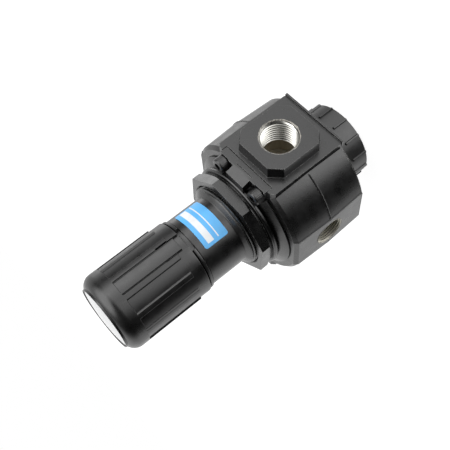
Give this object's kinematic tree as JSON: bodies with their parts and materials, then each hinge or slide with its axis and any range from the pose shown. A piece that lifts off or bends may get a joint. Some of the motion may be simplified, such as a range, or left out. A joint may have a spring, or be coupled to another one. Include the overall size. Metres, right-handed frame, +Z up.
{
  "type": "pneumatic pressure regulator",
  "caption": "In-line pneumatic pressure regulator with an octagon panel nut, a pull-to-turn adjusting knob, side ports, gauge ports and a ribbed bottom plug.",
  "frame": {"origin": "centre of the bottom plug's underside, on which the part stands", "axes": "+Z up along the body's axis towards the knob, +X towards the outlet port, +Y towards the rear gauge port"},
  "size_m": [0.09, 0.0808, 0.1679],
  "materials": {
    "cast_black": "satin black on die casting",
    "nut_black": "satin black",
    "black_steel": "blackened steel",
    "plug_plastic": "moulded black",
    "knob_plastic": "moulded black",
    "disc_white": "glossy",
    "label_blue": "printed film",
    "plated_steel": "zinc plated",
    "acetal": "natural",
    "brass": "turned",
    "spring_steel": "drawn wire",
    "seal_rubber": "moulded"
  },
  "bodies": {
    "base": {"body": "cast_black", "bonnet": "cast_black", "bonnet_screw_1": "black_steel", "bonnet_screw_2": "black_steel", "bonnet_screw_3": "black_steel", "bonnet_screw_4": "black_steel", "bottom_plug": "plug_plastic", "plug_o_ring": "seal_rubber", "lock_ring": "knob_plastic", "label": "label_blue", "thrust_washer": "acetal", "control_spring": "spring_steel", "valve_spring": "spring_steel", "diaphragm": "seal_rubber"},
    "adjusting_screw": {"spindle": "plated_steel"},
    "knob": {"knob": "knob_plastic", "knob_disc": "disc_white"},
    "upper_spring_seat": {"spring_nut": "brass"},
    "diaphragm_plates": {"spring_plate": "plated_steel", "diaphragm_hub": "brass", "hub_nut": "plated_steel"},
    "valve": {"valve": "brass", "valve_seal": "seal_rubber", "valve_o_ring": "seal_rubber"},
    "panel_nut": {"panel_nut": "nut_black"}
  },
  "joints": [
    {"name": "spindle_turn", "type": "hinge", "parent": "base", "child": "adjusting_screw", "pos_m": [0, 0, 0.12], "axis": [0, 0, -1], "range_deg": [0, 1800]},
    {"name": "knob_pull", "type": "slide", "parent": "adjusting_screw", "child": "knob", "axis": [0, 0, 1], "range_m": [0, 0.0035]},
    {"name": "spring_seat_travel", "type": "slide", "parent": "base", "child": "upper_spring_seat", "axis": [0, 0, -1], "range_m": [0, 0.01], "deforming": ["control_spring"]},
    {"name": "diaphragm_stroke", "type": "slide", "parent": "base", "child": "diaphragm_plates", "axis": [0, 0, -1], "range_m": [0, 0.0015], "stiffness_N_per_m": 8000, "deforming": ["diaphragm"]},
    {"name": "valve_stroke", "type": "slide", "parent": "base", "child": "valve", "axis": [0, 0, -1], "range_m": [0, 0.0016], "deforming": ["valve_spring"]},
    {"name": "panel_nut_travel", "type": "slide", "parent": "base", "child": "panel_nut", "axis": [0, 0, 1], "range_m": [0, 0.006]}
  ],
  "couplings": [
    {"joint": "spindle_turn", "follows": "spring_seat_travel", "rad_per_m": 3141.6},
    {"joint": "valve_stroke", "follows": "diaphragm_stroke", "ratio": 1}
  ]
}
